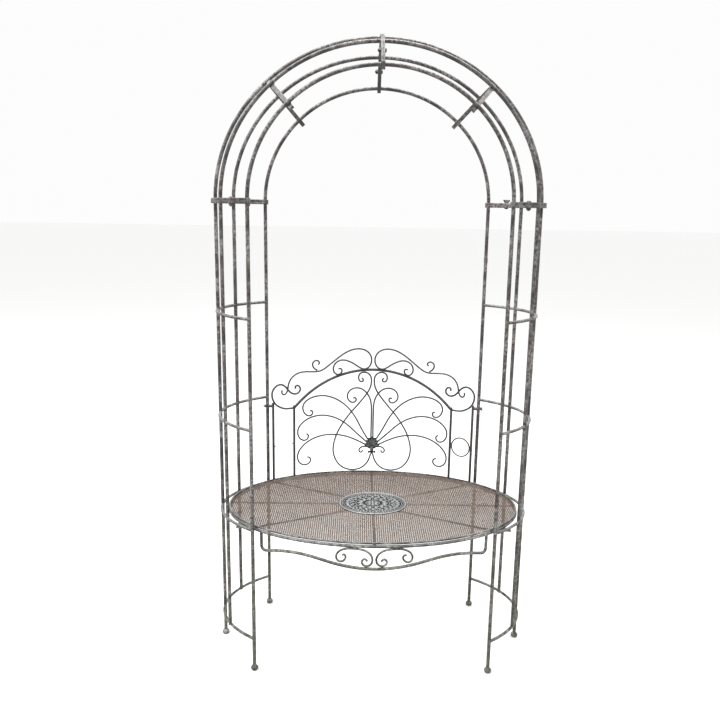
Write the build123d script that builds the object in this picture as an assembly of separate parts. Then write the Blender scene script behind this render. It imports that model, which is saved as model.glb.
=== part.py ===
from build123d import *
import os
from math import acos, cos, degrees, radians, sin, sqrt, tan

os.makedirs("parts", exist_ok=True)

# Garden arch seat: two curved side panels of tube carry a dome of ten quarter hoops, with an oval
# seat, a scrolled backrest and an apron between them. Millimetres, +Z up, front towards -Y.
# The origin is on the ground, in the middle of the oval that the uprights stand on.

# ---- arch and side panels ----
arch_half_width = 522.0       # middle of the arch to the centre of an outer leg
arch_half_depth = 317.0       # half depth of the oval that the uprights stand on
baluster_angle = 22.0         # degrees round the oval, from the outer leg
end_leg_angle = 41.8          # the same, for the front and back legs
tube_radius = 6.0
ring_radius = 5.0
spring_height = 1530.0        # where the hoops start
hoop_rise = 494.0             # centre of the outer hoop above the spring line
dome_extra_depth = 14.0       # the crown bars' oval is this much deeper than the plan oval
brace_angle = 47.6            # degrees round the outer hoop, from the spring line
brace_end_angle = 46.0        # the same, on the front and back hoops
brace_width = 13.0            # flat strap under the hoops
brace_thickness = 4.0
brace_bite = 0.3              # how deep the hoops sit in the strap
brace_overhang = 5.0          # past the centre of the end hoops
bar_thickness = 8.0           # flat bars at the spring line
bar_width = 22.0              # at the spring line
bar_overhang = 9.0            # spring bar past the centre of the end legs
crown_bar_width = 15.0
crown_bar_thickness = 6.0
crown_bar_overhang = 3.0      # crown bar past the centre of the end hoops
upper_ring_height = 1180.0
middle_ring_height = 830.0
low_ring_height = 113.0
foot_radius = 12.0
foot_height = 17.0
foot_flat_radius = 8.0

# ---- seat ----
seat_height = 497.5           # centre of the rim tube
seat_side_gap = 17.0          # outer leg to rim tube
seat_depth_inset = 3.0        # rim centre inside the uprights' oval, front and back
rim_radius = 5.0
rib_width = 9.0
rib_thickness = 2.0
rib_angle = 40.0              # the slanting ribs, degrees round the seat
sheet_thickness = 1.5
band_width = 5.0
band_height = 5.0
medallion_half_width = 118.0
medallion_half_depth = 97.0
medallion_thickness = 4.5
hub_margin = 12.0             # the medallion overhangs the hub by this much
tab_thickness = 3.0
tab_width = 24.0

# ---- backrest and apron ----
drawn_half_width = 370.0      # the scroll outlines below are drawn for this width between outer posts
inner_post_x = 296.0          # drawn
post_radius = 4.5
rail_radius = 5.0
rail_top = 404.0              # centre of the rail above the seat band, at the middle
rail_bend = 388.0             # radius of the rail's arch
rod_radius = 3.0
end_scroll_radius = 3.5
curl_radius = 2.8
inner_post_rise = 9.0         # past the rail's end
outer_post_top = 296.0        # above the seat band
ring_ornament_height = 128.0
ring_rod_radius = 2.5
shell_depth = 8.0
shell_clearance = 0.6         # the fans curve back from the flat shell
shell_curl_gap = 0.1
wave_clearance = 0.1          # the wave passes in front of the end scrolls
apron_bar_radius = 5.0
apron_rod_radius = 3.5
apron_corner_radius = 14.0

# ---- fasteners ----
frame_bolt_radius = 4.0
leg_bolt_radius = 3.0
hole_clearance = 0.3          # on the radius
nut_fit = 0.08                # running clearance of a wing nut on its bolt, on the radius
nut_seat_gap = 0.3
head_height = 4.5
spacer_radius = 5.5
seat_bolt_bite = 2.5          # shank in the spacer, past the leg
backrest_bolt_height = 284.0  # above the seat band

# ---- places that follow from the sizes ----
seat_half_width = arch_half_width - tube_radius - seat_side_gap - rim_radius
seat_half_depth = arch_half_depth - seat_depth_inset
rib_bottom = seat_height + rim_radius
sheet_bottom = rib_bottom + rib_thickness
sheet_top = sheet_bottom + sheet_thickness
band_top = sheet_top + band_height
seat_bottom = seat_height - rim_radius
seat_ring_height = seat_bottom + ring_radius
post_stretch = seat_half_width * cos(radians(end_leg_angle)) / drawn_half_width
bolt_angle = (baluster_angle + end_leg_angle) / 2
upright_angles = [-end_leg_angle, -baluster_angle, 0.0, baluster_angle, end_leg_angle]
SIDES = {"left": -1, "right": 1}


def plan_point(angle, side=1):
    """Point of the uprights' oval, at an angle from the side towards the back."""
    return side * arch_half_width * cos(radians(angle)), arch_half_depth * sin(radians(angle))


def rim_y(x):
    """Half depth of the seat rim's oval at x."""
    return seat_half_depth * sqrt(1 - (x / seat_half_width) ** 2)


def save(name, *solids):
    """Write one node, as one solid or as a group of separate solids."""
    pieces = [piece for solid in solids for piece in solid.solids()]
    shape = pieces[0] if len(pieces) == 1 else Compound(children=pieces)
    export_step(shape, f"parts/{name}.step")


def cylinder(start, end, radius):
    """Round bar between two points."""
    start, end = Vector(*start), Vector(*end)
    plane = Plane(origin=start, z_dir=end - start)
    return extrude(plane * Circle(radius), amount=(end - start).length, dir=plane.z_dir)


def rod_along(path, radius):
    """Round rod along a smooth path."""
    return sweep(Plane(origin=path @ 0, z_dir=path % 0) * Circle(radius), path=path)


def oval_path(plane, half_x, half_y, start, end):
    """Arc of an ellipse in a plane, between two of its angles in degrees."""
    return Edge.make_ellipse(half_x, half_y, plane, start, end)


def largest(shape):
    return shape.solids().sort_by(SortBy.VOLUME)[-1]


def slab(x_range, y_range, z_range):
    """Box from three ranges."""
    size = [high - low for low, high in (x_range, y_range, z_range)]
    middle = [(high + low) / 2 for low, high in (x_range, y_range, z_range)]
    return Pos(*middle) * Box(*size)


def oval_band(half_x, half_y, width, height):
    """Flat bar bent round an ellipse, standing on the XY plane."""
    outer = extrude(Ellipse(half_x + width / 2, half_y + width / 2), amount=height)
    inner = extrude(Ellipse(half_x - width / 2, half_y - width / 2), amount=height)
    return outer - inner


# ---- fastener shapes, along +Z with the clamped face at z = 0 ----
def bolt(radius, grip, tail):
    """Domed bolt: the head is above z = 0, and the shank runs down through the grip."""
    head_radius = radius * 1.75
    crown = radius * 0.4
    profile = Plane.XZ * make_face(
        Polyline((0, -grip - tail), (radius, -grip - tail), (radius, 0), (head_radius, 0))
        + ThreePointArc((head_radius, 0), (head_radius * 0.8, head_height * 0.7), (crown, head_height))
        + Polyline((crown, head_height), (0, head_height), (0, -grip - tail))
    )
    return revolve(profile, Axis.Z)


def hex_nut(radius):
    """Plain nut below z = 0."""
    body = extrude(RegularPolygon(radius * 1.85, 6), amount=-radius * 1.6)
    return body - Cylinder(radius + hole_clearance, radius * 8)


def wing_nut(radius):
    """Hand nut above z = 0: a hub, and two ears that lean outwards."""
    hub_height = radius * 1.9
    hub = Cone(radius * 1.75, radius * 1.4, hub_height, align=(Align.CENTER, Align.CENTER, Align.MIN))
    ear = Polyline(
        (radius * 0.9, hub_height * 0.25), (radius * 1.7, hub_height * 0.2),
        (radius * 3.1, hub_height * 0.9), (radius * 3.0, hub_height * 1.45),
        (radius * 2.2, hub_height * 1.4), (radius * 0.9, hub_height * 0.85), close=True,
    )
    ear_solid = extrude(Plane.XZ * make_face(ear), amount=radius * 0.38, both=True)
    body = hub + ear_solid + mirror(ear_solid, Plane.YZ)
    return body - Cylinder(radius + nut_fit, radius * 8)


# ---- side panels ----
def foot(x, y):
    """Flattened ball under a leg, cut flat on the ground and where the leg stands on it."""
    bulge = foot_radius
    profile = Plane.XZ * make_face(
        Line((0, 0), (foot_flat_radius, 0))
        + ThreePointArc((foot_flat_radius, 0), (bulge, foot_height * 0.45), (tube_radius, foot_height))
        + Polyline((tube_radius, foot_height), (0, foot_height), (0, 0))
    )
    return Pos(x, y, 0) * revolve(profile, Axis.Z)


def seat_bolt_frame(x, y):
    """Where a seat bolt meets an end leg: outside face of the leg, pointing away from the seat."""
    outwards = 1 if y > 0 else -1
    return Plane(
        origin=(x, y + outwards * tube_radius, seat_height), x_dir=(1, 0, 0), z_dir=(0, outwards, 0)
    )


def seat_bolt_hole(x, y):
    """Hole for a seat bolt, through an end leg and a little way into its spacer."""
    depth = 2 * tube_radius + seat_bolt_bite + hole_clearance
    return seat_bolt_frame(x, y) * Pos(0, 0, -depth / 2) * Cylinder(leg_bolt_radius + hole_clearance, depth)


def end_leg(angle, side):
    x, y = plan_point(angle, side)
    leg = cylinder((x, y, foot_height), (x, y, spring_height - bar_thickness), tube_radius)
    leg -= seat_bolt_hole(x, y)
    if y > 0:
        hole = Plane(origin=(x, y, band_top + backrest_bolt_height), z_dir=(1, 0, 0))
        leg -= hole * Cylinder(leg_bolt_radius + hole_clearance, tube_radius * 5)
    return leg


def upright_tools(side):
    """Solid bars in the uprights' places, for cutting the rings' ends to fit."""
    points = [plan_point(angle, side) for angle in upright_angles]
    return [cylinder((x, y, 0), (x, y, spring_height), tube_radius) for x, y in points]


def side_ring(height, side):
    """Four rods between the five uprights, bent to the plan oval."""
    start, end = -end_leg_angle, end_leg_angle
    if side < 0:
        start, end = 180 - end_leg_angle, 180 + end_leg_angle
    path = oval_path(Plane.XY.offset(height), arch_half_width, arch_half_depth, start, end)
    ring = rod_along(path, ring_radius)
    for tool in upright_tools(side):
        ring -= tool
    for angle in (-end_leg_angle, end_leg_angle):
        ring -= seat_bolt_hole(*plan_point(angle, side))
    return ring.solids().sort_by(SortBy.VOLUME)[-4:]


def spring_flat_bar(side, bottom):
    """Flat bar round one end of the plan oval, with its two bolt holes."""
    bar = oval_band(arch_half_width, arch_half_depth, bar_width, bar_thickness)
    inner_end = plan_point(end_leg_angle)[0] - bar_overhang
    outer_end = arch_half_width + bar_width
    x_range = sorted((side * inner_end, side * outer_end))
    bar = Pos(0, 0, bottom) * bar & slab(
        x_range, (-arch_half_depth, arch_half_depth), (bottom, bottom + bar_thickness)
    )
    for angle in (-bolt_angle, bolt_angle):
        x, y = plan_point(angle, side)
        bar -= Pos(x, y, bottom) * Cylinder(frame_bolt_radius + hole_clearance, bar_thickness * 3)
    return bar


for name, side in SIDES.items():
    for label, angle in (("front", -end_leg_angle), ("back", end_leg_angle)):
        save(f"{name}_{label}_leg", end_leg(angle, side))
    x, y = plan_point(0, side)
    save(f"{name}_outer_leg",
         cylinder((x, y, foot_height), (x, y, spring_height - bar_thickness), tube_radius))
    balusters = []
    for angle in (-baluster_angle, baluster_angle):
        x, y = plan_point(angle, side)
        bottom = low_ring_height - ring_radius
        balusters.append(cylinder((x, y, bottom), (x, y, spring_height - bar_thickness), tube_radius))
    save(f"{name}_balusters", *balusters)
    heights = (upper_ring_height, middle_ring_height, seat_ring_height, low_ring_height)
    save(f"{name}_side_rings", *[rod for height in heights for rod in side_ring(height, side)])
    save(f"{name}_panel_bar", spring_flat_bar(side, spring_height - bar_thickness))
    save(f"{name}_feet",
         *[foot(*plan_point(angle, side)) for angle in (-end_leg_angle, 0, end_leg_angle)])


# ---- dome ----
dome_half_depth = arch_half_depth + dome_extra_depth


def rise_at(y):
    """Height of the dome's crown above the spring line."""
    return hoop_rise * sqrt(1 - (y / dome_half_depth) ** 2)


def hoop(angle, side):
    """Quarter hoop above one upright, trimmed flat on the spring bar and at the crown bar."""
    half_width, y = plan_point(angle)
    plane = Plane(origin=(0, y, spring_height), x_dir=(side, 0, 0), z_dir=(0, -side, 0))
    tube = rod_along(oval_path(plane, half_width, rise_at(y), 0, 90), tube_radius)
    x_range = sorted((side * crown_bar_thickness, side * (half_width + bar_width)))
    top = spring_height + hoop_rise + bar_width
    return tube & slab(x_range, (y - bar_width, y + bar_width), (spring_height + bar_thickness, top))


def crown_bar(side):
    """Flat bar across the top, in the plane where the two halves of the dome meet."""
    bar = oval_band(dome_half_depth, hoop_rise, crown_bar_width, crown_bar_thickness)
    plane = Plane(origin=(0, 0, spring_height), x_dir=(0, 1, 0), z_dir=(side, 0, 0))
    reach = plan_point(end_leg_angle)[1] + crown_bar_overhang
    bar = plane * bar & slab(
        (-crown_bar_thickness, crown_bar_thickness), (-reach, reach),
        (spring_height, spring_height + hoop_rise + bar_width),
    )
    for hole in crown_bolt_frames():
        bar -= hole * Cylinder(frame_bolt_radius + hole_clearance, crown_bar_thickness * 6)
    return bar


def crown_bolt_frames():
    """Right-hand faces of the crown bars at the two bolts, pointing to the right."""
    frames = []
    for angle in (-bolt_angle, bolt_angle):
        y = plan_point(angle)[1]
        frames.append(Plane(
            origin=(crown_bar_thickness, y, spring_height + rise_at(y)), x_dir=(0, 1, 0),
            z_dir=(1, 0, 0)
        ))
    return frames


def brace(side, hoops):
    """Flat strap bent under all five hoops, from the front hoop to the back hoop."""
    end_x, end_y = plan_point(end_leg_angle)
    turn, end_turn = radians(brace_angle), radians(brace_end_angle)
    outer = Vector(arch_half_width * cos(turn), 0, hoop_rise * sin(turn))
    end = Vector(end_x * cos(end_turn), 0, rise_at(end_y) * sin(end_turn))
    drop = outer - end
    half_depth = (arch_half_depth + dome_half_depth) / 2
    half_height = drop.length / (1 - sqrt(1 - (end_y / half_depth) ** 2))
    centre = outer - drop.normalized() * half_height
    plane = Plane(
        origin=(side * centre.X, 0, spring_height + centre.Z),
        x_dir=(side * drop.X, 0, drop.Z), z_dir=(-side * drop.Z, 0, drop.X),
    )
    inset = tube_radius + brace_thickness / 2 - brace_bite
    band = oval_band(half_height - inset, half_depth - inset, brace_thickness, brace_width)
    reach = end_y + brace_overhang
    band &= slab((0, half_height), (-reach, reach), (0, brace_width))
    strap = plane * Pos(0, 0, -brace_width / 2) * band
    for tool in hoops:
        strap -= tool
    return largest(strap)


hoop_names = ["front", "mid_front", "outer", "mid_back", "back"]
braces = []
for name, side in SIDES.items():
    hoops = [hoop(angle, side) for angle in upright_angles]
    for label, tube in zip(hoop_names, hoops):
        save(f"{name}_{label}_hoop", tube)
    save(f"{name}_spring_bar", spring_flat_bar(side, spring_height))
    save(f"{name}_crown_bar", crown_bar(side))
    braces.append(brace(side, hoops))
save("dome_braces", *braces)


# ---- seat ----
def seat_point(angle, half_x=seat_half_width, half_y=seat_half_depth):
    return half_x * cos(radians(angle)), half_y * sin(radians(angle))


rim = rod_along(oval_path(Plane.XY.offset(seat_height), seat_half_width, seat_half_depth, 0, 360), rim_radius)
save("seat_rim", rim)

hub_half_width = medallion_half_width - hub_margin
hub_half_depth = medallion_half_depth - hub_margin
hub = Pos(0, 0, rib_bottom) * extrude(Ellipse(hub_half_width, hub_half_depth), amount=rib_thickness)


def seat_rib(angle):
    """Flat bar under the sheet, from the hub to the rim tube."""
    start, end = Vector(*seat_point(angle, hub_half_width, hub_half_depth)), Vector(*seat_point(angle))
    middle = (start + end) * 0.5
    plane = Plane(origin=(middle.X, middle.Y, rib_bottom), x_dir=end - start, z_dir=(0, 0, 1))
    bar = plane * Box((end - start).length + rib_width, rib_width, rib_thickness,
                      align=(Align.CENTER, Align.CENTER, Align.MIN))
    edge = Pos(0, 0, rib_bottom) * extrude(
        Ellipse(seat_half_width + band_width / 2, seat_half_depth + band_width / 2), amount=rib_thickness
    )
    return largest((bar & edge) - hub)


slanting_angles = [rib_angle, 180 - rib_angle, 180 + rib_angle, 360 - rib_angle]
save("seat_ribs", hub, *[seat_rib(angle) for angle in (0, 90, 180, 270, *slanting_angles)])
save("seat_mesh", Pos(0, 0, sheet_bottom) * extrude(
    Ellipse(seat_half_width + band_width / 2, seat_half_depth + band_width / 2), amount=sheet_thickness))
save("seat_edge_band",
     Pos(0, 0, sheet_top) * oval_band(seat_half_width, seat_half_depth, band_width, band_height))

medallion = extrude(Ellipse(medallion_half_width, medallion_half_depth), amount=medallion_thickness)
medallion = chamfer(medallion.edges().group_by(Axis.Z)[-1], medallion_thickness / 3)
save("seat_medallion", Pos(0, 0, sheet_top) * medallion)


def seat_tab(angle, side):
    """Plate under the rim tube and a side ring, midway between baluster and end leg."""
    inner, outer = Vector(*seat_point(angle)), Vector(*plan_point(angle))
    plane = Plane(origin=(inner + outer) * 0.5, x_dir=outer - inner, z_dir=(0, 0, 1))
    size = (outer - inner).length + rim_radius + ring_radius
    plate = plane * Pos(0, 0, seat_bottom - tab_thickness) * Box(
        size, tab_width, tab_thickness, align=(Align.CENTER, Align.CENTER, Align.MIN))
    return plate if side > 0 else mirror(plate, Plane.YZ)


save("seat_tabs", *[seat_tab(angle, side) for side in SIDES.values() for angle in (-bolt_angle, bolt_angle)])


# ---- backrest ----
def on_rim(x, height, offset, front):
    """Drawn point placed on the upright oval above the rim, set forwards by the offset."""
    x = x * post_stretch
    y = rim_y(x)
    slope = Vector(x / seat_half_width ** 2, y / seat_half_depth ** 2).normalized()
    x, y = x - slope.X * offset, y - slope.Y * offset
    return (x, -y if front else y, height)


def bend_radii(points):
    """Arc at each inner point, as large as the two runs beside it allow."""
    radii = []
    for before, here, after in zip(points, points[1:], points[2:]):
        run_in, run_out = Vector(*here) - Vector(*before), Vector(*after) - Vector(*here)
        half_turn = radians(run_in.get_angle(run_out)) / 2
        radii.append(0.49 * min(run_in.length, run_out.length) / tan(half_turn))
    return radii


def scroll(points, radius, side=1, offset=0.0, base=band_top, front=False):
    """Bent rod through drawn points: x from the middle, height above the base."""
    places = [on_rim(side * x, base + height, offset, front) for x, height in points]
    return rod_along(Wire(FilletPolyline(*places, radius=bend_radii(places)).edges()), radius)


def pair(points, radius, **places):
    """The same scroll on both sides."""
    return [scroll(points, radius, side=side, **places) for side in SIDES.values()]


# Outlines are (x, height above the seat band), for the right-hand side.
rail_points = [
    (x, rail_top - rail_bend + sqrt(rail_bend ** 2 - x ** 2))
    for x in [inner_post_x * step / 9 for step in range(-9, 10)]
]
rail_end_height = rail_points[-1][1]

end_scroll_points = [
    (inner_post_x, rail_end_height), (312, 266), (330, 267), (346, 275), (360, 286), (369, 302), (374, 320),
    (373, 338), (365, 353), (352, 362), (338, 361), (326, 351), (317, 337), (307, 325), (294, 319),
    (281, 322), (273, 333), (275, 346), (284, 353), (292, 349), (291, 340),
]
wave_points = [
    (341, 341), (343, 331), (336, 322), (327, 326), (321, 340), (319, 360), (311, 380), (297, 394),
    (279, 402), (258, 404), (235, 402), (213, 401), (196, 405), (180, 415), (161, 430), (140, 447),
    (119, 463), (97, 476), (75, 484), (52, 486), (31, 481), (15, 469), (7, 453), (6, 436), (12, 419),
    (24, 409), (38, 407), (54, 414), (72, 427), (91, 437), (110, 443), (127, 442), (142, 434),
    (151, 421), (153, 405), (147, 392), (135, 386), (124, 390), (118, 401), (123, 411), (133, 409),
]
top_curl_points = [
    (213, 407), (222, 412), (229, 421), (231, 432), (226, 441), (216, 445), (207, 441), (204, 433),
    (210, 428),
]
heart_points = [
    (42, 371), (35, 364), (40, 356), (50, 358), (56, 371), (52, 386), (42, 393), (28, 394), (15, 388),
    (7, 376), (5, 360), (7, 341), (14, 323), (27, 303), (45, 280), (64, 257), (84, 235), (110, 200),
    (134, 159), (147, 120), (151, 86), (144, 54), (126, 25), (100, 8), (69, 3), (39, 11), (18, 31),
    (8, 52), (4, 70),
]
stem_points = [
    (4, 110), (3.5, 206), (4, 262), (7, 283), (13, 300), (24, 316), (39, 329), (59, 335), (80, 331),
    (94, 318), (99, 301), (93, 285), (79, 276), (67, 279), (62, 289), (68, 297), (75, 293),
]
fan_outlines = [
    [(16, 130), (40, 169), (62, 213), (87, 250), (117, 278), (149, 297), (181, 307), (210, 308),
     (239, 301), (260, 286), (268, 266), (262, 245), (249, 232), (235, 232), (228, 243), (233, 252),
     (240, 250)],
    [(22, 120), (66, 160), (99, 192), (132, 214), (169, 228), (206, 232), (242, 224), (268, 208),
     (284, 187), (286, 163), (276, 143), (260, 135), (247, 142), (245, 156), (253, 162)],
    [(24, 108), (66, 130), (108, 146), (151, 153), (190, 152), (228, 142), (260, 123), (281, 98),
     (288, 74), (281, 50), (263, 38), (245, 41), (236, 54), (240, 67), (250, 69)],
]
shell_curl_points = [
    (5, 98), (14, 99), (24, 101), (33, 101), (42, 98), (49, 91), (50, 83), (45, 77), (38, 79), (36, 86),
]

rod_step = 2 * rod_radius                    # scrolls laid in front of others of the same size
wave_step = end_scroll_radius + rod_radius + wave_clearance
shell_offset = rod_step + rod_radius + shell_clearance

inner_post_centres = [on_rim(side * inner_post_x, 0, 0, False) for side in SIDES.values()]
inner_posts = [
    cylinder((x, y, band_top), (x, y, band_top + rail_end_height + inner_post_rise), post_radius)
    for x, y, _ in inner_post_centres
]
save("backrest_inner_posts", *inner_posts)

end_scrolls = pair(end_scroll_points, end_scroll_radius)
rail = scroll(rail_points, rail_radius)
for post in inner_posts:
    rail -= post
save("backrest_rail", largest(rail))
end_scrolls = [largest(scroll_rod - post) for scroll_rod, post in zip(end_scrolls, inner_posts)]
save("backrest_end_scrolls", *end_scrolls)

outer_post_centres = [on_rim(side * drawn_half_width, 0, 0, False) for side in SIDES.values()]
outer_posts = [
    largest(cylinder((x, y, band_top), (x, y, band_top + outer_post_top), post_radius) - scroll_rod)
    for (x, y, _), scroll_rod in zip(outer_post_centres, end_scrolls)
]
save("backrest_outer_posts", *outer_posts)

save("backrest_wave_scrolls", *pair(wave_points, rod_radius, offset=wave_step))
save("backrest_top_curls", *pair(top_curl_points, rod_radius, offset=wave_step))
save("backrest_heart_scrolls", *pair(heart_points, rod_radius))
save("backrest_stem_scrolls", *pair(stem_points, rod_radius, offset=rod_step))
for name, side in SIDES.items():
    save(f"backrest_{name}_fan",
         *[scroll(outline, rod_radius, side=side, offset=rod_step) for outline in fan_outlines])
save("backrest_shell_curls",
     *pair(shell_curl_points, curl_radius, offset=shell_offset - curl_radius - shell_curl_gap))


def shell():
    """Scallop with seven lobes, fanned upwards from its hinge, over a tail with two volutes."""
    hinge_height = 102.0
    lobe_width, lobe_reach = 20.0, 33.0
    lobe_radius = 7.5
    tail_drop, volute_drop, volute_x, volute_radius = 27.0, 21.5, 11.5, 5.0
    outline = Pos(0, 3) * Circle(11)
    for lobe in range(7):
        angle = radians(15 + lobe * 25)
        x, z = lobe_width * cos(angle), lobe_reach * sin(angle)
        outline += Pos(x, z) * Circle(lobe_radius)
        outline += make_hull(((Pos(x, z) * Circle(lobe_radius)) + Circle(3)).edges())
    outline += make_hull((Circle(9) + Pos(0, -tail_drop) * Circle(3)).edges())
    for side in SIDES.values():
        volute = Pos(side * volute_x, -volute_drop) * Circle(volute_radius)
        outline += volute + make_hull((Pos(0, -volute_drop) * Circle(3) + volute).edges())
    plane = Plane(
        origin=(0, seat_half_depth - shell_offset, band_top + hinge_height), x_dir=(1, 0, 0),
        z_dir=(0, -1, 0),
    )
    return extrude(plane * outline, amount=shell_depth)


save("backrest_shell", shell())

# One ring is left, between the right-hand posts. The left-hand one has broken away from its welds.
ring_middle = (Vector(*inner_post_centres[1]) + Vector(*outer_post_centres[1])) * 0.5
ring_across = Vector(*outer_post_centres[1]) - Vector(*inner_post_centres[1])
ring_plane = Plane(
    origin=(ring_middle.X, ring_middle.Y, band_top + ring_ornament_height),
    x_dir=ring_across, z_dir=(-ring_across.Y, ring_across.X, 0),
)
ring_bend = ring_across.length / 2 - post_radius - ring_rod_radius
save("backrest_ring", ring_plane * Torus(ring_bend, ring_rod_radius))
stubs = []
left_across = Vector(-ring_across.X, ring_across.Y).normalized()
for centre, outwards in ((inner_post_centres[0], 1), (outer_post_centres[0], -1)):
    start = Vector(centre[0], centre[1], band_top + ring_ornament_height)
    end = start + left_across * outwards * (post_radius + 3.0)
    stub = cylinder(tuple(start), tuple(end), ring_rod_radius)
    stubs.append(stub - cylinder((start.X, start.Y, start.Z - 20), (start.X, start.Y, start.Z + 20), post_radius))
save("backrest_ring_stubs", *stubs)

# ---- apron ----
# Outlines are (x, height above the underside of the rim).
apron_half = [(362, 0), (362, -60), (333, -52), (297, -43), (250, -38), (204, -41), (158, -50),
              (113, -60), (69, -66), (25, -70)]
apron_points = [(-x, height) for x, height in apron_half] + apron_half[::-1]
apron_places = [on_rim(x, seat_bottom + height, 0, True) for x, height in apron_points]
apron_radii = bend_radii(apron_places)
apron_radii[0] = apron_radii[-1] = apron_corner_radius
apron_bar = rod_along(
    Wire(FilletPolyline(*apron_places, radius=apron_radii).edges()), apron_bar_radius)
save("apron_bar", apron_bar)

apron_scroll_points = [
    (22, -44), (28, -36), (37, -39), (40, -50), (32, -59), (19, -60.5), (8, -52), (5, -37), (11, -22),
    (25, -10), (46, -4.6), (70, -3.6), (92, -5), (110, -14), (119, -28), (118, -42), (108, -50),
    (95, -46), (88, -34), (92, -24), (100, -26),
]
save("apron_scrolls", *pair(apron_scroll_points, apron_rod_radius, base=seat_bottom, front=True))

# ---- fasteners ----
spacers, seat_bolts = [], []
spacer_hole = leg_bolt_radius + hole_clearance
for side in SIDES.values():
    seat_rings = side_ring(seat_ring_height, side)
    for angle in (-end_leg_angle, end_leg_angle):
        x, y = plan_point(angle, side)
        outwards = 1 if y > 0 else -1
        rim_centre = (x, outwards * rim_y(x), seat_height)
        spacer = cylinder((x, y, seat_height), rim_centre, spacer_radius)
        spacer -= cylinder((x, y, 0), (x, y, spring_height), tube_radius)
        for rod in seat_rings:
            spacer -= rod
        spacer = largest(spacer - rim)
        spacers.append(spacer - seat_bolt_hole(x, y))
        seat_bolts.append(seat_bolt_frame(x, y) * bolt(leg_bolt_radius, 2 * tube_radius, seat_bolt_bite))
    x, y = plan_point(end_leg_angle, side)
    z = band_top + backrest_bolt_height
    post_x, post_y, _ = outer_post_centres[0 if side < 0 else 1]
    post_tool = cylinder((post_x, post_y, 0), (post_x, post_y, spring_height), post_radius)
    spacer = cylinder((x, y, z), (post_x, y, z), spacer_radius)
    spacer -= cylinder((x, y, 0), (x, y, spring_height), tube_radius)
    spacer = largest(spacer - post_tool)
    post_face = abs(post_x) + post_radius
    spacer -= cylinder((x, y, z), (side * (post_face + 1), y, z), spacer_hole)
    spacers.append(spacer)
save("bolt_spacers", *spacers)
save("seat_bolts", *seat_bolts)

leg_x, leg_y = plan_point(end_leg_angle)
outer_face = leg_x + tube_radius
stud_start = abs(outer_post_centres[1][0]) + post_radius + 1.5
stud_height = band_top + backrest_bolt_height
stud_end = outer_face + nut_seat_gap + leg_bolt_radius * 1.9 + 3.0
save("backrest_studs", *[
    cylinder((side * stud_start, leg_y, stud_height), (side * stud_end, leg_y, stud_height), leg_bolt_radius)
    for side in SIDES.values()
])
left_face = Plane(origin=(-outer_face, leg_y, stud_height), x_dir=(0, 1, 0), z_dir=(1, 0, 0))
save("backrest_nut", left_face * hex_nut(leg_bolt_radius))
right_face = Plane(
    origin=(outer_face + nut_seat_gap, leg_y, stud_height), x_dir=(0, 0.8, 0.6), z_dir=(1, 0, 0))
save("backrest_wing_nut", right_face * wing_nut(leg_bolt_radius))

frame_grip = 2 * bar_thickness
crown_grip = 2 * crown_bar_thickness
nut_tail = frame_bolt_radius * 1.6 + 3.0
wing_tail = frame_bolt_radius * 1.9 + nut_seat_gap + 3.0
frame_bolts, frame_nuts = [], []
for side in SIDES.values():
    for angle in (-bolt_angle, bolt_angle):
        x, y = plan_point(angle, side)
        if side > 0 and angle > 0:
            under = Plane(origin=(x, y, spring_height - bar_thickness), x_dir=(1, 0, 0), z_dir=(0, 0, -1))
            frame_bolts.append(under * bolt(frame_bolt_radius, frame_grip, wing_tail))
            over = Plane(
                origin=(x, y, spring_height + bar_thickness + nut_seat_gap), x_dir=(1, 0.35, 0),
                z_dir=(0, 0, 1))
            save("spring_wing_nut", over * wing_nut(frame_bolt_radius))
        else:
            top = Pos(x, y, spring_height + bar_thickness)
            frame_bolts.append(top * bolt(frame_bolt_radius, frame_grip, nut_tail))
            frame_nuts.append(top * Pos(0, 0, -frame_grip) * hex_nut(frame_bolt_radius))
for frame in crown_bolt_frames():
    frame_bolts.append(frame * bolt(frame_bolt_radius, crown_grip, nut_tail))
    frame_nuts.append(frame * Pos(0, 0, -crown_grip) * hex_nut(frame_bolt_radius))
save("frame_bolts", *frame_bolts)
save("frame_nuts", *frame_nuts)
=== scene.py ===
from math import cos, pi, radians, sin, sqrt, tau

import bmesh
import bpy
from bpy.props import FloatProperty, FloatVectorProperty, IntProperty, PointerProperty
from mathutils import Matrix, Vector, noise
from mathutils.bvhtree import BVHTree


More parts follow.
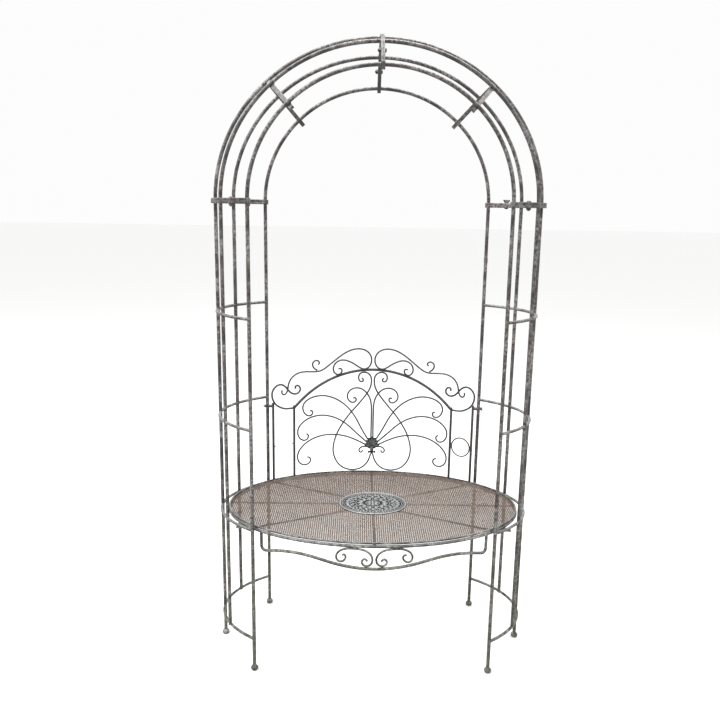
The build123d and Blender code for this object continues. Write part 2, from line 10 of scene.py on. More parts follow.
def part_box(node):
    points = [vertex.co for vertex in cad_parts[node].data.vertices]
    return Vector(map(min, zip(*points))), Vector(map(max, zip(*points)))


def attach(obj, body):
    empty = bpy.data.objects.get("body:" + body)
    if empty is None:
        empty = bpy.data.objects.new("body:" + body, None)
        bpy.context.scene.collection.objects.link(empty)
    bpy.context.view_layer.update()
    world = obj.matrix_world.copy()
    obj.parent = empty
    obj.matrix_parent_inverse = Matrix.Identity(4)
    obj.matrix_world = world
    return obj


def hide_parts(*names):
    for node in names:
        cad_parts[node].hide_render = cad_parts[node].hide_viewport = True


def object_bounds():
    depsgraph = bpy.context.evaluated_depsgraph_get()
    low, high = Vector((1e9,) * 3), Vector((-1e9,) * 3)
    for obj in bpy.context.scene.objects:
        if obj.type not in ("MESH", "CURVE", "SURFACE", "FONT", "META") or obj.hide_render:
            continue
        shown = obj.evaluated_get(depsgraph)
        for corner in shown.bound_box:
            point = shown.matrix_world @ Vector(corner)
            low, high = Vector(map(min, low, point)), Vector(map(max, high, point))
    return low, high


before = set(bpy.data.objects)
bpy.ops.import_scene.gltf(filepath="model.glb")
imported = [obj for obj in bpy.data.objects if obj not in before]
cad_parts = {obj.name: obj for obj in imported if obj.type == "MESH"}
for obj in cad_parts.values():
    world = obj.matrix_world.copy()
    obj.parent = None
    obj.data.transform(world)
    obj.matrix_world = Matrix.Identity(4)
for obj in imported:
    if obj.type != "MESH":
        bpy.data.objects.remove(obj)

bl_info = {
    "name": "Garden Arch Seat",
    "version": (1, 0, 0),
    "blender": (4, 5, 0),
    "location": "View3D > Sidebar > Garden Arch",
    "description": "Expanded mesh, castings, welds, weathered finishes and a studio for a seated garden arch",
    "category": "Object",
}

CAD_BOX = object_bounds()
BODY = "arch_frame"
MM = 0.001


def oval_of(node):
    """Half width, half depth, bottom and top of a node that is centred on the arch."""
    low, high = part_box(node)
    return high.x, high.y, low.z, high.z


# ------------------------------------------------------------------ sizes and colours
class GardenArchSettings(bpy.types.PropertyGroup):
    """Sizes and colours of the pieces that are added to the frame."""

    strand_long: FloatProperty(
        name="Mesh long way", description="Length of a diamond of the seat mesh", default=0.0135,
        unit="LENGTH")
    strand_short: FloatProperty(
        name="Mesh short way", description="Width of a diamond of the seat mesh", default=0.0068,
        unit="LENGTH")
    strand_width: FloatProperty(
        name="Mesh strand", description="Width of one strand of the seat mesh", default=0.0020,
        unit="LENGTH")
    mesh_sag: FloatProperty(
        name="Mesh sag", description="How far the mesh hangs between the ribs", default=0.0012,
        unit="LENGTH")
    weld_size: FloatProperty(
        name="Weld size", description="Radius of a weld bead", default=0.0038, unit="LENGTH")
    wire_radius: FloatProperty(
        name="Tie wire", description="Radius of the wire left from old plant ties", default=0.0008,
        unit="LENGTH")
    bead_count: IntProperty(
        name="Border beads", description="Beads round the border of the medallion", default=76, min=12)
    # Also the colour of the painted shade on the downward-facing sides, besides the dark weathered metal.
    metal_dark: FloatVectorProperty(
        name="Dark patina", description="Dark weathered metal", subtype="COLOR", size=4,
        default=(0.006, 0.0055, 0.006, 1.0))
    metal_mid: FloatVectorProperty(
        name="Grey patina", description="Ordinary grey of the worn paint", subtype="COLOR", size=4,
        default=(0.050, 0.048, 0.047, 1.0))
    # Also the colour of the painted highlight on the upward-facing sides, besides the rubbed paint.
    metal_light: FloatVectorProperty(
        name="Rubbed metal", description="Pale grey where the paint is rubbed", subtype="COLOR", size=4,
        default=(0.42, 0.415, 0.40, 1.0))
    plum_tint: FloatVectorProperty(
        name="Plum rust", description="Purple-brown rust tint", subtype="COLOR", size=4,
        default=(0.085, 0.042, 0.045, 1.0))
    algae_tint: FloatVectorProperty(
        name="Algae", description="Beige-green growth near the ground", subtype="COLOR", size=4,
        default=(0.078, 0.094, 0.040, 1.0))
    scroll_dark: FloatVectorProperty(
        name="Scroll charcoal", description="Charcoal of the bent rods", subtype="COLOR", size=4,
        default=(0.022, 0.024, 0.027, 1.0))
    casting_light: FloatVectorProperty(
        name="Casting silver", description="Silver-grey of the castings", subtype="COLOR", size=4,
        default=(0.42, 0.425, 0.425, 1.0))
    # Colour of the deepest parts of a casting, set by depth alone.
    casting_dark: FloatVectorProperty(
        name="Casting recess", description="Dirt in the castings' recesses", subtype="COLOR", size=4,
        default=(0.022, 0.022, 0.022, 1.0))
    mesh_brown: FloatVectorProperty(
        name="Mesh brown", description="Brown-grey of the seat mesh", subtype="COLOR", size=4,
        default=(0.130, 0.085, 0.060, 1.0))
    camera_place: FloatVectorProperty(
        name="Camera", description="Where the camera stands", subtype="TRANSLATION", size=3,
        default=(-0.064, -2.382, 1.5105))
    camera_tilt: FloatProperty(
        name="Camera tilt", description="How far the camera looks down", default=0.2045,
        subtype="ANGLE")
    camera_turn: FloatProperty(
        name="Camera turn", description="How far the camera turns to the right", default=0.0051,
        subtype="ANGLE")
    camera_roll: FloatProperty(
        name="Camera roll", description="How far the camera leans", default=0.0151, subtype="ANGLE")
    camera_lens: FloatProperty(
        name="Lens", description="Focal length on a 36 mm sensor", default=36.37)


def settings():
    return bpy.context.scene.garden_arch


# ------------------------------------------------------------------ material building blocks
class Finish:
    """A material being built: its node tree, its shader and the object's own coordinates."""

    def __init__(self, name):
        self.material = bpy.data.materials.new(name)
        self.material.use_nodes = True
        self.tree = self.material.node_tree
        self.tree.nodes.clear()
        output = self.add("ShaderNodeOutputMaterial")
        self.shader = self.add("ShaderNodeBsdfPrincipled")
        self.link(self.shader.outputs["BSDF"], output.inputs["Surface"])
        self.place = self.add("ShaderNodeTexCoord").outputs["Object"]

    def add(self, kind):
        return self.tree.nodes.new(kind)

    def link(self, source, target):
        self.tree.links.new(source, target)

    def stretched(self, scale):
        """Object coordinates stretched along the axes."""
        mapping = self.add("ShaderNodeMapping")
        mapping.inputs["Scale"].default_value = scale
        self.link(self.place, mapping.inputs["Vector"])
        return mapping.outputs["Vector"]

    def noise(self, scale, detail=4.0, roughness=0.6, distortion=0.0, place=None):
        node = self.add("ShaderNodeTexNoise")
        node.inputs["Scale"].default_value = scale
        node.inputs["Detail"].default_value = detail
        node.inputs["Roughness"].default_value = roughness
        node.inputs["Distortion"].default_value = distortion
        self.link(place or self.place, node.inputs["Vector"])
        return node.outputs["Fac"]

    def ranged(self, value, low, high, to_low=0.0, to_high=1.0):
        """Smooth step of a value between two limits."""
        node = self.add("ShaderNodeMapRange")
        node.interpolation_type = "SMOOTHSTEP"
        node.inputs["From Min"].default_value = low
        node.inputs["From Max"].default_value = high
        node.inputs["To Min"].default_value = to_low
        node.inputs["To Max"].default_value = to_high
        self.link(value, node.inputs["Value"])
        return node.outputs["Result"]

    def math(self, operation, first, second):
        node = self.add("ShaderNodeMath")
        node.operation = operation
        for socket, value in zip(node.inputs, (first, second)):
            if isinstance(value, (int, float)):
                socket.default_value = value
            else:
                self.link(value, socket)
        return node.outputs["Value"]

    def mixed(self, factor, first, second, blend="MIX"):
        """Mix of two colours, each a socket or a plain colour."""
        node = self.add("ShaderNodeMix")
        node.data_type = "RGBA"
        node.blend_type = blend
        for socket, value in zip((node.inputs[0], node.inputs[6], node.inputs[7]),
                                 (factor, first, second)):
            if isinstance(value, (int, float)):
                socket.default_value = value
            elif hasattr(value, "links"):
                self.link(value, socket)
            else:
                socket.default_value = tuple(value)
        return node.outputs[2]

    def height(self):
        """Height above the ground, in metres."""
        node = self.add("ShaderNodeSeparateXYZ")
        self.link(self.place, node.inputs["Vector"])
        return node.outputs["Z"]

    def upwards(self):
        """How far a surface faces the sky, from -1 to 1."""
        normal = self.add("ShaderNodeNewGeometry").outputs["Normal"]
        node = self.add("ShaderNodeSeparateXYZ")
        self.link(normal, node.inputs["Vector"])
        return node.outputs["Z"]

    def bump(self, value, depth):
        node = self.add("ShaderNodeBump")
        node.inputs["Strength"].default_value = 1.0
        node.inputs["Distance"].default_value = depth
        self.link(value, node.inputs["Height"])
        self.link(node.outputs["Normal"], self.shader.inputs["Normal"])

    def finish(self, colour, roughness, metallic):
        self.link(colour, self.shader.inputs["Base Color"])
        self.link(roughness, self.shader.inputs["Roughness"])
        self.shader.inputs["Metallic"].default_value = metallic
        return self.material


def patina(name, dark, mid, light, tint, tint_amount=0.5, algae=None, metallic=0.2, rubbed=0.5,
           top_highlight=0.6):
    """Old painted metal: blotches, run marks, rubbed pale flecks, rust tint and growth low down, with a
    painted highlight on the upward-facing sides and painted shade on the downward-facing sides.
    """
    finish = Finish(name)
    blotches = finish.ranged(finish.noise(14.0, 5.0, 0.6, 0.6), 0.38, 0.62)
    runs = finish.ranged(finish.noise(60.0, 5.0, 0.6, 0.3, finish.stretched((1, 1, 0.2))), 0.38, 0.64)
    mottle = finish.ranged(finish.noise(115.0, 5.0, 0.68), 0.38, 0.64)
    flecks = finish.ranged(finish.noise(400.0, 3.0, 0.6), 0.58, 0.70)
    rust_patches = finish.ranged(finish.noise(9.0, 4.0, 0.6, 0.9), 0.44, 0.60, 0.0, tint_amount)

    colour = finish.mixed(finish.math("MULTIPLY", runs, 0.8), dark, mid)
    colour = finish.mixed(finish.math("MULTIPLY", blotches, 0.5), colour, mid)
    colour = finish.mixed(rust_patches, colour, finish.mixed(mottle, dark, tint))
    pale = finish.math("MULTIPLY", finish.math("MULTIPLY", mottle, blotches), rubbed)
    colour = finish.mixed(pale, colour, light)
    colour = finish.mixed(finish.math("MULTIPLY", flecks, 0.2), colour, light)
    # Painted highlight: the upward-facing sides are mixed towards the light colour, as if lit by the sky.
    sky = finish.ranged(finish.upwards(), -0.1, 0.9, 0.0, top_highlight)
    colour = finish.mixed(finish.math("MULTIPLY", sky, finish.ranged(mottle, 0.0, 1.0, 0.55, 1.0)),
                          colour, light)
    # Painted shade: the downward-facing sides are mixed towards the dark colour.
    underside_shade = finish.ranged(finish.upwards(), -0.85, 0.05, 0.7, 0.0)
    colour = finish.mixed(underside_shade, colour, dark)
    if algae:
        growth_colour, top = algae
        low_down = finish.ranged(finish.height(), top * 0.15, top, 0.85, 0.0)
        growth = finish.math("MULTIPLY", low_down, finish.ranged(runs, 0.0, 1.0, 0.30, 1.0))
        dirt = finish.mixed(mottle, dark, growth_colour)
        colour = finish.mixed(growth, colour, dirt)
        crust = finish.math("MULTIPLY", finish.math("MULTIPLY", low_down, blotches), flecks)
        colour = finish.mixed(crust, colour, finish.mixed(0.5, light, growth_colour))
    roughness = finish.ranged(mottle, 0.0, 1.0, 0.55, 0.38)
    grain = finish.math("ADD", finish.math("MULTIPLY", mottle, 0.7), finish.math("MULTIPLY", flecks, 0.3))
    finish.bump(grain, 0.0003)
    return finish.finish(colour, roughness, metallic)


def casting(name, light, dark, low, high, depth_axis="Z"):
    """Cast metal whose raised parts are pale and whose recesses are dark, between two depths."""
    finish = Finish(name)
    split = finish.add("ShaderNodeSeparateXYZ")
    finish.link(finish.place, split.inputs["Vector"])
    grain = finish.noise(420.0, 5.0, 0.7)
    spots = finish.ranged(finish.noise(120.0, 5.0, 0.65, 0.4), 0.42, 0.62)
    relief = finish.ranged(split.outputs[depth_axis], low, high)
    relief_pale = finish.math("MULTIPLY", relief, finish.ranged(grain, 0.30, 0.62, 0.55, 1.0))
    colour = finish.mixed(relief_pale, dark, light)
    shade = tuple(channel * 0.55 for channel in light[:3]) + (1.0,)
    colour = finish.mixed(finish.math("MULTIPLY", spots, 0.45), colour, shade, "MULTIPLY")
    finish.bump(grain, 0.0003)
    return finish.finish(colour, finish.ranged(relief_pale, 0.0, 1.0, 0.75, 0.38), 0.45)


def paint_nodes(material, nodes):
    """Gives CAD nodes a material, in every slot that they have."""
    for name in nodes:
        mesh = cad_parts[name].data
        mesh.materials.clear()
        mesh.materials.append(material)


def soften(nodes, width):
    """Rounds the sharp edges of CAD nodes a little."""
    for name in nodes:
        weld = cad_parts[name].modifiers.new("joined", "WELD")
        weld.merge_threshold = 0.01 * MM
        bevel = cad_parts[name].modifiers.new("soft_edges", "BEVEL")
        bevel.width = width
        bevel.segments = 2
        bevel.limit_method = "ANGLE"
        bevel.angle_limit = radians(50)


def add_piece(name, bm, material, body=BODY, smooth=True, replaced=()):
    """Makes a finished piece of a bmesh and lets it ride on its body."""
    mesh = bpy.data.meshes.new(name)
    bm.to_mesh(mesh)
    bm.free()
    mesh.materials.append(material)
    for face in mesh.polygons:
        face.use_smooth = smooth
    piece = bpy.data.objects.new(name, mesh)
    bpy.context.scene.collection.objects.link(piece)
    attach(piece, body)
    if replaced:
        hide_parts(*replaced)
    return piece


def named(*parts):
    """CAD nodes whose name holds any of these words."""
    return [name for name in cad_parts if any(part in name for part in parts)]


# ------------------------------------------------------------------ shape building blocks
def blob(bm, place, size, turn=0.0, taper=0.0, detail=2, axes=None):
    """Closed rounded lump: an icosphere scaled, tapered along its length, turned and placed."""
    verts = bmesh.ops.create_icosphere(bm, subdivisions=detail, radius=1.0)["verts"]
    for vert in verts:
        narrow = 1.0 - taper * vert.co.x
        vert.co = Vector((vert.co.x * size[0], vert.co.y * size[1] * narrow, vert.co.z * size[2]))
    matrix = axes or Matrix.Rotation(turn, 4, "Z")
    bmesh.ops.transform(bm, matrix=Matrix.Translation(place) @ matrix.to_4x4(), verts=verts)
    return verts


def ring_band(bm, radius, width, height, base, steps=96, crown=5):
    """Half-round band round the Z axis: an arched profile spun through a full turn."""
    outline = []
    for step in range(crown + 1):
        angle = pi * step / crown
        outline.append((radius - width / 2 * cos(angle), base + height * sin(angle)))
    verts = [bm.verts.new((x, 0, z)) for x, z in outline]
    edges = [bm.edges.new(pair) for pair in zip(verts, verts[1:] + verts[:1])]
    bmesh.ops.spin(
        bm, geom=verts + edges, cent=(0, 0, 0), axis=(0, 0, 1), dvec=(0, 0, 0), angle=tau, steps=steps,
        use_merge=True, use_normal_flip=False, use_duplicate=False)


def bent_rod(bm, radius, rod, height, sweep, steps, rise=0.0):
    """Round rod bent about the Z axis, with flat ends: a circle spun round, rising at each step."""
    verts = bmesh.ops.create_circle(bm, cap_ends=True, radius=rod, segments=6)["verts"]
    before = set(bm.verts) - set(verts)
    bmesh.ops.rotate(bm, verts=verts, cent=(0, 0, 0), matrix=Matrix.Rotation(pi / 2, 3, "X"))
    bmesh.ops.translate(bm, verts=verts, vec=(radius, 0, height))
    faces = list({face for vert in verts for face in vert.link_faces})
    bmesh.ops.spin(
        bm, geom=faces, cent=(0, 0, 0), axis=(0, 0, 1), dvec=(0, 0, rise), angle=sweep, steps=steps,
        use_merge=False, use_normal_flip=False, use_duplicate=False)
    return [vert for vert in bm.verts if vert not in before]


def curl(bm, place, radius, rod, turn, sweep, height):
    """Small bent rod lying on the casting, part of a circle."""
    verts = bent_rod(bm, radius, rod, height, sweep, steps=10)
    matrix = Matrix.Translation((place.x, place.y, 0)) @ Matrix.Rotation(turn, 4, "Z")
    bmesh.ops.transform(bm, matrix=matrix, verts=verts)


def close_up(bm):
    """Merges doubles and turns every face outwards."""
    bmesh.ops.remove_doubles(bm, verts=bm.verts, dist=1e-6)
    bmesh.ops.recalc_face_normals(bm, faces=bm.faces)


# ------------------------------------------------------------------ seat
class GARDENARCH_OT_seat_mesh(bpy.types.Operator):
    """Expanded metal of the seat: diamonds of flat strand, cut to the oval, in two halves"""
    bl_idname = "garden_arch.seat_mesh"
    bl_label = "Seat mesh"

    def execute(self, context):
        chosen = settings()
        half_x, half_y, low, high = oval_of("seat_mesh")
        trim = 1.5 * MM
        lift = 0.4 * MM
        join = 0.2 * MM
        edge_share = 0.997
        half_x, half_y = half_x - trim, half_y - trim
        long_way, short_way = chosen.strand_long, chosen.strand_short
        count = int(sqrt((half_x / (long_way / 2)) ** 2 + (half_y / (short_way / 2)) ** 2)) + 3
        count += count % 2
        dark, light, rust = (0.055, 0.038, 0.028, 1.0), (0.24, 0.19, 0.15, 1.0), (0.13, 0.075, 0.05, 1.0)
        finish = patina("seat_mesh_metal", dark, tuple(chosen.mesh_brown), light, rust,
                        tint_amount=0.6, metallic=0.1, rubbed=0.3, top_highlight=0.25)
        for name, side in (("seat_mesh_left", -1), ("seat_mesh_right", 1)):
            bm = bmesh.new()
            bmesh.ops.create_grid(bm, x_segments=count, y_segments=count, size=count / 2)
            turn = Matrix.Rotation(pi / 4, 4, "Z")
            scale = Matrix.Diagonal((long_way / sqrt(2), short_way / sqrt(2), 1.0, 1.0))
            bmesh.ops.transform(bm, matrix=scale @ turn, verts=bm.verts)

            def reach(vert):
                return sqrt((vert.co.x / half_x) ** 2 + (vert.co.y / half_y) ** 2)

            outside = [
                face for face in bm.faces
                if side * face.calc_center_median().x < 0
                or min(map(reach, face.verts)) > edge_share
            ]
            bmesh.ops.delete(bm, geom=outside, context="FACES")
            for vert in bm.verts:
                over = reach(vert)
                if over > 1.0:
                    vert.co.x /= over
                    vert.co.y /= over
                fall = max(0.0, 1.0 - over * over)
                vert.co.z = (low + high) / 2 + lift - chosen.mesh_sag * fall
            bmesh.ops.remove_doubles(bm, verts=bm.verts, dist=join)
            bmesh.ops.recalc_face_normals(bm, faces=bm.faces)
            bmesh.ops.wireframe(
                bm, faces=bm.faces, thickness=chosen.strand_width, offset=0.0, use_replace=True,
                use_boundary=True, use_even_offset=False, use_crease=False, crease_weight=0.0,
                use_relative_offset=False, material_offset=0)
            add_piece(name, bm, finish, smooth=False, replaced=("seat_mesh",))
        return {"FINISHED"}


class GARDENARCH_OT_medallion(bpy.types.Operator):
    """Oval casting in the middle of the seat: beaded border, leaves, curls, petals and a rosette"""
    bl_idname = "garden_arch.medallion"
    bl_label = "Seat medallion"

    def execute(self, context):
        chosen = settings()
        half_x, half_y, low, high = oval_of("seat_medallion")
        thick = high - low
        unit = half_y
        bm = bmesh.new()

        floor = bmesh.ops.create_cone(
            bm, cap_ends=True, cap_tris=False, segments=96, radius1=unit * 0.98, radius2=unit * 0.975,
            depth=thick * 0.25)
        bmesh.ops.translate(bm, verts=floor["verts"], vec=(0, 0, thick * 0.125))

        def around(angle, radius, height):
            """Place on a circle, with shares of the medallion's half depth and thickness."""
            place = Vector((cos(angle), sin(angle), 0)) * unit * radius
            place.z = thick * height
            return place

        # radius, width, height and base of each raised ring, and its steps
        rings = (
            (0.965, 0.07, 0.95, 0.0, 96),
            (0.855, 0.028, 0.62, 0.1, 96),
            (0.50, 0.035, 0.62, 0.1, 96),
            (0.205, 0.03, 0.6, 0.1, 48),
        )
        for radius, width, height, base, steps in rings:
            ring_band(bm, unit * radius, unit * width, thick * height, thick * base, steps)

        bead = (unit * 0.024, unit * 0.024, thick * 0.42)
        for index in range(chosen.bead_count):
            blob(bm, around(tau * index / chosen.bead_count, 0.905, 0.42), bead, detail=1)

        # count, radius, length, width, rise, taper, start and lean of each circle of leaves or petals
        leaves = (
            (26, 0.755, 0.075, 0.036, 0.50, 0.35, 0.0, 0.45),
            (26, 0.755, 0.075, 0.030, 0.40, 0.35, 0.5, -0.45),
            (26, 0.655, 0.030, 0.026, 0.48, 0.0, 0.25, 0.0),
            (18, 0.575, 0.050, 0.040, 0.52, -0.3, 0.5, 0.0),
            (14, 0.385, 0.085, 0.052, 0.55, -0.30, 0.0, 0.0),
            (14, 0.335, 0.060, 0.022, 0.62, -0.2, 0.5, 0.0),
            (8, 0.120, 0.060, 0.038, 0.58, -0.25, 0.0, 0.0),
        )
        for count, radius, length, width, rise, taper, start, lean in leaves:
            for index in range(count):
                angle = tau * (index + start) / count
                blob(bm, around(angle, radius, 0.35), (unit * length, unit * width, thick * rise),
                     angle + lean, taper)
        blob(bm, Vector((0, 0, thick * 0.4)), (unit * 0.05, unit * 0.05, thick * 0.6))

        curl_pairs = 18
        for index in range(curl_pairs):
            for hand in (-1, 1):
                angle = tau * (index + 0.19 * hand) / curl_pairs
                curl(bm, around(angle, 0.640, 0.0), unit * 0.036, unit * 0.011,
                     angle + (pi if hand > 0 else 0.4), hand * 1.35 * pi, thick * 0.5)

        stretch = Matrix.Diagonal((half_x / half_y, 1.0, 1.0, 1.0))
        bmesh.ops.transform(bm, matrix=Matrix.Translation((0, 0, low)) @ stretch, verts=bm.verts)
        close_up(bm)
        finish = casting("medallion_metal", tuple(chosen.casting_light), tuple(chosen.casting_dark),
                         low + thick * 0.22, low + thick * 0.72)
        add_piece("seat_medallion_casting", bm, finish, replaced=("seat_medallion",))
        return {"FINISHED"}


class GARDENARCH_OT_seat_finish(bpy.types.Operator):
    """Worn silver-grey paint on the seat's rim, edge band, ribs and tabs"""
    bl_idname = "garden_arch.seat_finish"
    bl_label = "Seat finish"

    def execute(self, context):
        chosen = settings()
        rim = patina("seat_rim_metal", tuple(chosen.metal_dark), tuple(chosen.metal_mid),
                     tuple(chosen.metal_light), tuple(chosen.plum_tint), tint_amount=0.25, rubbed=0.6,
                     top_highlight=0.45)
        ribs = patina("seat_rib_metal", (0.055, 0.056, 0.050, 1.0), (0.13, 0.135, 0.125, 1.0),
                      (0.30, 0.30, 0.29, 1.0), tuple(chosen.algae_tint), tint_amount=0.2, rubbed=0.8)
        paint_nodes(rim, ["seat_rim", "seat_edge_band", "seat_tabs"])
        paint_nodes(ribs, ["seat_ribs"])
        return {"FINISHED"}


# ------------------------------------------------------------------ frame
class GARDENARCH_OT_frame_finish(bpy.types.Operator):
    """Weathered patina on the uprights, rings, hoops, braces and flat bars, and dirt on the feet"""
    bl_idname = "garden_arch.frame_finish"
    bl_label = "Frame finish"

    def execute(self, context):
        chosen = settings()
        colours = [tuple(colour) for colour in
                   (chosen.metal_dark, chosen.metal_mid, chosen.metal_light, chosen.plum_tint)]
        algae = (tuple(chosen.algae_tint), 0.8)
        frame_metal = patina("frame_metal", *colours, tint_amount=0.8, algae=algae, rubbed=0.5)
        foot_metal = patina("foot_metal", *colours[:3], tuple(chosen.algae_tint), tint_amount=0.8,
                            algae=(tuple(chosen.algae_tint), 0.2), metallic=0.15, rubbed=1.0)
        paint_nodes(frame_metal, named("leg", "balusters", "side_rings", "hoop", "bar", "braces"))
        paint_nodes(foot_metal, named("feet"))
        crown_metal = patina("crown_metal", *colours[:2], (0.20, 0.20, 0.19, 1.0), colours[3],
                             tint_amount=0.3, metallic=0.0, rubbed=0.3, top_highlight=0.3)
        paint_nodes(crown_metal, named("crown_bar"))
        soften(named("panel_bar", "spring_bar", "crown_bar"), 1.3 * MM)
        return {"FINISHED"}


class GARDENARCH_OT_scroll_finish(bpy.types.Operator):
    """Charcoal rod of the backrest, and greener rod of the apron"""
    bl_idname = "garden_arch.scroll_finish"
    bl_label = "Scroll finish"

    def execute(self, context):
        chosen = settings()
        scroll = patina("scroll_metal", (0.004, 0.0045, 0.005, 1.0), tuple(chosen.scroll_dark),
                        (0.18, 0.185, 0.19, 1.0), tuple(chosen.plum_tint), tint_amount=0.2,
                        metallic=0.0, rubbed=0.15, top_highlight=0.3)
        apron = patina("apron_metal", tuple(chosen.metal_dark), (0.045, 0.048, 0.032, 1.0),
                       tuple(chosen.metal_light), tuple(chosen.algae_tint), tint_amount=0.75,
                       algae=(tuple(chosen.algae_tint), 0.95), rubbed=0.6)
        paint_nodes(scroll, named("backrest"))
        paint_nodes(apron, named("apron"))
        return {"FINISHED"}


class GARDENARCH_OT_fastener_finish(bpy.types.Operator):
    """Dark rusty bolts, studs, nuts and wing nuts"""
    bl_idname = "garden_arch.fastener_finish"
    bl_label = "Fastener finish"

    def execute(self, context):
        chosen = settings()
        finish = patina("fastener_metal", (0.010, 0.009, 0.008, 1.0), (0.040, 0.032, 0.026, 1.0),
                        tuple(chosen.metal_light), tuple(chosen.plum_tint), tint_amount=0.7,
                        metallic=0.5, rubbed=0.25)
        paint_nodes(finish, named("bolt", "nut", "stud"))
        return {"FINISHED"}


# ------------------------------------------------------------------ backrest casting
class GARDENARCH_OT_shell(bpy.types.Operator):
    """Scallop at the meeting of the fans: seven ribbed lobes, a hinge, a tail and two volutes"""
    bl_idname = "garden_arch.shell"
    bl_label = "Backrest shell"

    def execute(self, context):
        low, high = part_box("backrest_shell")
        width, depth, tall = high.x - low.x, high.y - low.y, high.z - low.z
        middle_y = (low.y + high.y) / 2
        hinge = Vector((0, middle_y, low.z + tall * 0.42))
        forwards = Vector((0, -1, 0))
        bm = bmesh.new()
        lobes, first_angle, between = 7, 15, 25
        for index in range(lobes):
            angle = radians(first_angle + index * between)
            tip = Vector((cos(angle) * width * 0.55, 0, sin(angle) * tall * 0.58))
            along = tip.normalized()
            axes = Matrix((along, along.cross(forwards), -forwards)).transposed()
            length = tip.length / 2
            blob(bm, hinge + along * length, (length, width * 0.108, depth * 0.46), taper=-0.62,
                 detail=3, axes=axes)
            blob(bm, hinge + along * length * 1.02 + forwards * depth * 0.30,
                 (length * 0.86, width * 0.030, depth * 0.22), taper=-0.35, detail=3, axes=axes)
        blob(bm, hinge, (width * 0.17, depth * 0.48, tall * 0.10), detail=3)
        down = Matrix.Rotation(pi / 2, 4, "Y")
        blob(bm, hinge - Vector((0, 0, tall * 0.19)), (tall * 0.22, depth * 0.42, width * 0.12),
             taper=0.5, detail=3, axes=down)
        for side in (-1, 1):
            eye = hinge + Vector((side * width * 0.205, 0, -tall * 0.29))
            blob(bm, eye, (width * 0.088, depth * 0.46, width * 0.088), detail=3)
            blob(bm, eye + forwards * depth * 0.3, (width * 0.045, depth * 0.2, width * 0.045))
            blob(bm, eye - Vector((side * width * 0.10, 0, 0)),
                 (width * 0.12, depth * 0.34, width * 0.05))
            blob(bm, hinge + Vector((side * width * 0.14, 0, -tall * 0.06)),
                 (width * 0.14, depth * 0.40, tall * 0.045), side * 0.35)
        bmesh.ops.recalc_face_normals(bm, faces=bm.faces)
        finish = casting("shell_metal", (0.17, 0.18, 0.185, 1.0), (0.008, 0.008, 0.009, 1.0),
                         middle_y - depth * 0.28, middle_y - depth * 0.47, "Y")
        add_piece("backrest_shell_casting", bm, finish, replaced=("backrest_shell",))
        return {"FINISHED"}


# ------------------------------------------------------------------ welds and old ties
def touch_points(rods, carriers, near, apart):
    """Places where the rods of one node come against any of the carriers."""
    places = []
    trees = []
    for name in carriers:
        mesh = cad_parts[name].data
        trees.append(BVHTree.FromPolygons(
            [vert.co for vert in mesh.vertices], [face.vertices for face in mesh.polygons]))
    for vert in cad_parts[rods].data.vertices:
        for tree in trees:
            hit = tree.find_nearest(vert.co, near)[0]
            if hit and all((hit - other[0] / other[1]).length > apart for other in places):
                places.append([hit.copy(), 1])
            elif hit:
                other = min(places, key=lambda entry: (hit - entry[0] / entry[1]).length)
                other[0] += hit
                other[1] += 1
    return [total / number for total, number in places]


class GARDENARCH_OT_welds(bpy.types.Operator):
    """Small lumpy weld beads where rods and tubes meet"""
    bl_idname = "garden_arch.welds"
    bl_label = "Weld beads"

    def execute(self, context):
        chosen = settings()
        size = chosen.weld_size
        near, apart = 0.9 * MM, 11 * MM
        lump_scale, lump_share = 260, 0.28
        finish = patina("weld_metal", tuple(chosen.metal_dark), tuple(chosen.metal_mid),
                        tuple(chosen.metal_light), tuple(chosen.plum_tint), rubbed=0.6)
        uprights = named("leg", "balusters")
        hoops = named("hoop")
        groups = {
            "frame_welds": [("left_side_rings", uprights), ("right_side_rings", uprights),
                            ("dome_braces", hoops)],
            "backrest_welds": [
                ("backrest_inner_posts", ["seat_edge_band"]), ("backrest_outer_posts", ["seat_edge_band"]),
                ("backrest_wave_scrolls", ["backrest_rail"]), ("backrest_ring", ["backrest_inner_posts",
                 "backrest_outer_posts"]), ("backrest_top_curls", ["backrest_wave_scrolls"]),
                ("backrest_end_scrolls", ["backrest_inner_posts", "backrest_outer_posts"]),
                ("backrest_rail", ["backrest_inner_posts"])],
            "apron_welds": [("apron_bar", ["seat_rim"]), ("apron_scrolls", ["apron_bar", "seat_rim"])],
        }
        for name, joints in groups.items():
            scale = 1.0 if name == "frame_welds" else 0.72
            bm = bmesh.new()
            for rods, carriers in joints:
                for place in touch_points(rods, carriers, near, apart):
                    verts = blob(bm, place, (size * 1.25 * scale, size * 1.25 * scale, size * scale))
                    for vert in verts:
                        vert.co += noise.noise_vector(vert.co * lump_scale) * size * lump_share
            bmesh.ops.recalc_face_normals(bm, faces=bm.faces)
            if not bm.verts:
                raise RuntimeError(f"no joints found for {name}")
            add_piece(name, bm, finish)
        return {"FINISHED"}


def wire_wrap(bm, centre, radius, wire, turns, pitch):
    """Wire wound round an upright bar."""
    steps = int(turns * 18)
    verts = bent_rod(bm, radius + wire, wire, -turns * pitch / 2, tau * turns, steps,
                     rise=pitch * turns / steps)
    bmesh.ops.transform(bm, matrix=Matrix.Translation(centre), verts=verts)


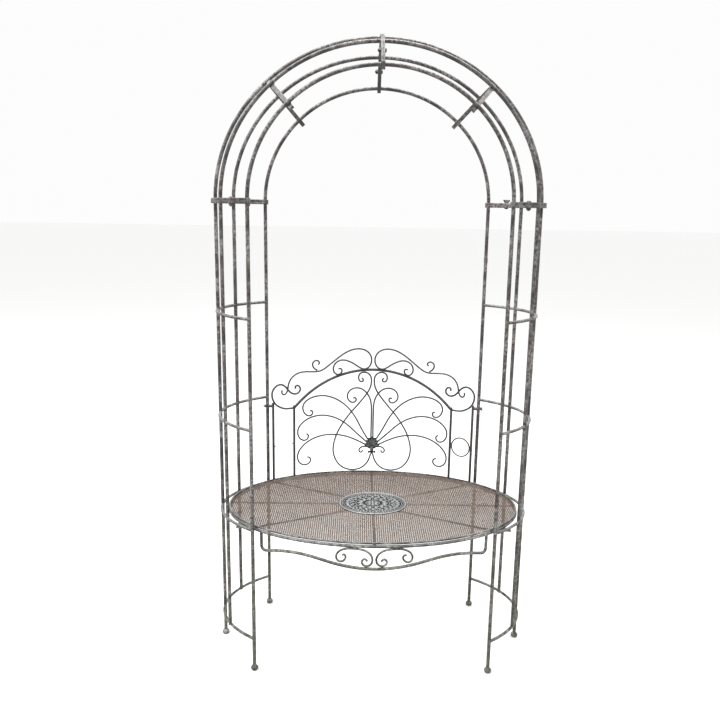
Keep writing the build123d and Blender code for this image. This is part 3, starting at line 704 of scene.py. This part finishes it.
class GARDENARCH_OT_wire_ties(bpy.types.Operator):
    """Twists of wire left on the right-hand side by old plant ties"""
    bl_idname = "garden_arch.wire_ties"
    bl_label = "Old plant ties"

    def execute(self, context):
        chosen = settings()
        bm = bmesh.new()
        low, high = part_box("right_back_leg")
        centre = (low + high) / 2
        below_top, apart, pitch, turns = 182 * MM, 9 * MM, 2.1 * MM, 3.0
        centre.z = high.z - below_top
        tube = (high.x - low.x) / 2
        for lift in (-apart / 2, apart / 2):
            wire_wrap(bm, centre + Vector((0, 0, lift)), tube, chosen.wire_radius, turns, pitch)
        close_up(bm)
        finish = patina("tie_metal", (0.05, 0.045, 0.04, 1.0), tuple(chosen.metal_mid),
                        tuple(chosen.metal_light), tuple(chosen.plum_tint), tint_amount=0.6)
        add_piece("plant_tie_wire", bm, finish)
        return {"FINISHED"}


# ------------------------------------------------------------------ studio
class GARDENARCH_OT_stage(bpy.types.Operator):
    """Pale floor, soft light and the camera"""
    bl_idname = "garden_arch.stage"
    bl_label = "Studio"

    def execute(self, context):
        scene = context.scene
        chosen = settings()
        bm = bmesh.new()
        bmesh.ops.create_grid(bm, x_segments=1, y_segments=1, size=60.0)
        mesh = bpy.data.meshes.new("studio_floor")
        bm.to_mesh(mesh)
        bm.free()
        floor = bpy.data.objects.new("studio_floor", mesh)
        scene.collection.objects.link(floor)
        pale = Finish("studio_floor_paint")
        pale.shader.inputs["Base Color"].default_value = (0.95, 0.95, 0.945, 1.0)
        pale.shader.inputs["Roughness"].default_value = 0.9
        mesh.materials.append(pale.material)

        world = bpy.data.worlds.new("studio_sky")
        world.use_nodes = True
        sky = world.node_tree.nodes["Background"]
        sky.inputs["Color"].default_value = (1.0, 1.0, 1.0, 1.0)
        sky.inputs["Strength"].default_value = 0.98
        scene.world = world

        low, high = CAD_BOX
        target = Vector((0, 0, (low.z + high.z) / 2))
        # name, place, diameter in metres and power in watts
        lamps = (
            ("key_light", (-2.6, -2.4, 4.6), 1.6, 190.0),
            ("fill_light", (3.4, -2.2, 2.6), 2.4, 30.0),
            ("top_light", (0.4, 0.8, 4.6), 3.0, 120.0),
        )
        for name, place, size, power in lamps:
            lamp = bpy.data.lights.new(name, "AREA")
            lamp.shape = "DISK"
            lamp.size = size
            lamp.energy = power
            holder = bpy.data.objects.new(name, lamp)
            holder.location = place
            holder.rotation_mode = "QUATERNION"
            holder.rotation_quaternion = (target - Vector(place)).to_track_quat("-Z", "Y")
            scene.collection.objects.link(holder)

        camera_data = bpy.data.cameras.new("studio_camera")
        camera_data.lens = chosen.camera_lens
        camera_data.sensor_width = 36.0
        camera = bpy.data.objects.new("studio_camera", camera_data)
        aim = Matrix.Rotation(-chosen.camera_turn, 4, "Z")
        tilt = Matrix.Rotation(pi / 2 - chosen.camera_tilt, 4, "X")
        roll = Matrix.Rotation(chosen.camera_roll, 4, "Z")
        camera.matrix_world = Matrix.Translation(chosen.camera_place) @ aim @ tilt @ roll
        scene.collection.objects.link(camera)
        scene.camera = camera
        scene.view_settings.view_transform = "Standard"
        return {"FINISHED"}


# ------------------------------------------------------------------ panel and registration
OPERATORS = (
    GARDENARCH_OT_frame_finish,
    GARDENARCH_OT_seat_finish,
    GARDENARCH_OT_scroll_finish,
    GARDENARCH_OT_fastener_finish,
    GARDENARCH_OT_seat_mesh,
    GARDENARCH_OT_medallion,
    GARDENARCH_OT_shell,
    GARDENARCH_OT_welds,
    GARDENARCH_OT_wire_ties,
    GARDENARCH_OT_stage,
)


class GARDENARCH_PT_panel(bpy.types.Panel):
    """Pieces and settings of the garden arch"""
    bl_idname = "GARDENARCH_PT_panel"
    bl_label = "Garden Arch"
    bl_space_type = "VIEW_3D"
    bl_region_type = "UI"
    bl_category = "Garden Arch"

    def draw(self, context):
        chosen = settings()
        for name in chosen.__annotations__:
            self.layout.prop(chosen, name)
        for operator in OPERATORS:
            self.layout.operator(operator.bl_idname)


def register():
    for cls in (GardenArchSettings, *OPERATORS, GARDENARCH_PT_panel):
        bpy.utils.register_class(cls)
    bpy.types.Scene.garden_arch = PointerProperty(type=GardenArchSettings)


def unregister():
    del bpy.types.Scene.garden_arch
    for cls in (GARDENARCH_PT_panel, *reversed(OPERATORS), GardenArchSettings):
        bpy.utils.unregister_class(cls)


def main():
    register()
    bpy.ops.garden_arch.frame_finish()
    bpy.ops.garden_arch.seat_finish()
    bpy.ops.garden_arch.scroll_finish()
    bpy.ops.garden_arch.fastener_finish()
    bpy.ops.garden_arch.seat_mesh()
    bpy.ops.garden_arch.medallion()
    bpy.ops.garden_arch.shell()
    bpy.ops.garden_arch.welds()
    bpy.ops.garden_arch.wire_ties()
    bpy.ops.garden_arch.stage()


if __name__ == "__main__":
    main()
